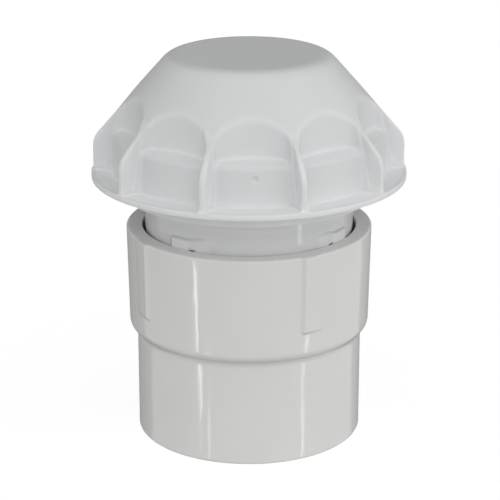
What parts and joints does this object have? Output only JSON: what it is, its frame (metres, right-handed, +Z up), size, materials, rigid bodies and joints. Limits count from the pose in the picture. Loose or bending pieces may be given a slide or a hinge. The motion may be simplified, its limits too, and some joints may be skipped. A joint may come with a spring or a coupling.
{
  "type": "air admittance valve",
  "caption": "Mushroom-capped drain vent valve pushed into a stepped pipe adapter, with a lifting ring membrane that lets air into the drain and keeps it from coming out.",
  "frame": {"origin": "centre of the adapter's foot, on the surface that it stands on", "axes": "+Z up along the valve's axis, -Y towards the picture's viewer, +X to the viewer's right"},
  "size_m": [0.1402, 0.1402, 0.1742],
  "materials": {
    "adapter_pvc": "smooth moulded white",
    "body_plastic": "satin moulded white",
    "cap_plastic": "satin moulded white",
    "screen_plastic": "moulded pale grey",
    "carrier_plastic": "moulded pale grey",
    "membrane_rubber": "soft sealing ring",
    "seal_rubber": "moulded seal"
  },
  "bodies": {
    "housing": {"adapter": "adapter_pvc", "pipe_seal": "seal_rubber", "valve_body": "body_plastic", "insect_screen": "screen_plastic", "throat_screen": "screen_plastic", "cap": "cap_plastic", "cap_seal": "seal_rubber"},
    "valve_disc": {"membrane": "membrane_rubber", "membrane_carrier": "carrier_plastic", "membrane_clamp": "carrier_plastic"}
  },
  "joints": [
    {"name": "membrane_lift", "type": "slide", "parent": "housing", "child": "valve_disc", "axis": [0, 0, 1], "range_m": [0, 0.008]}
  ]
}
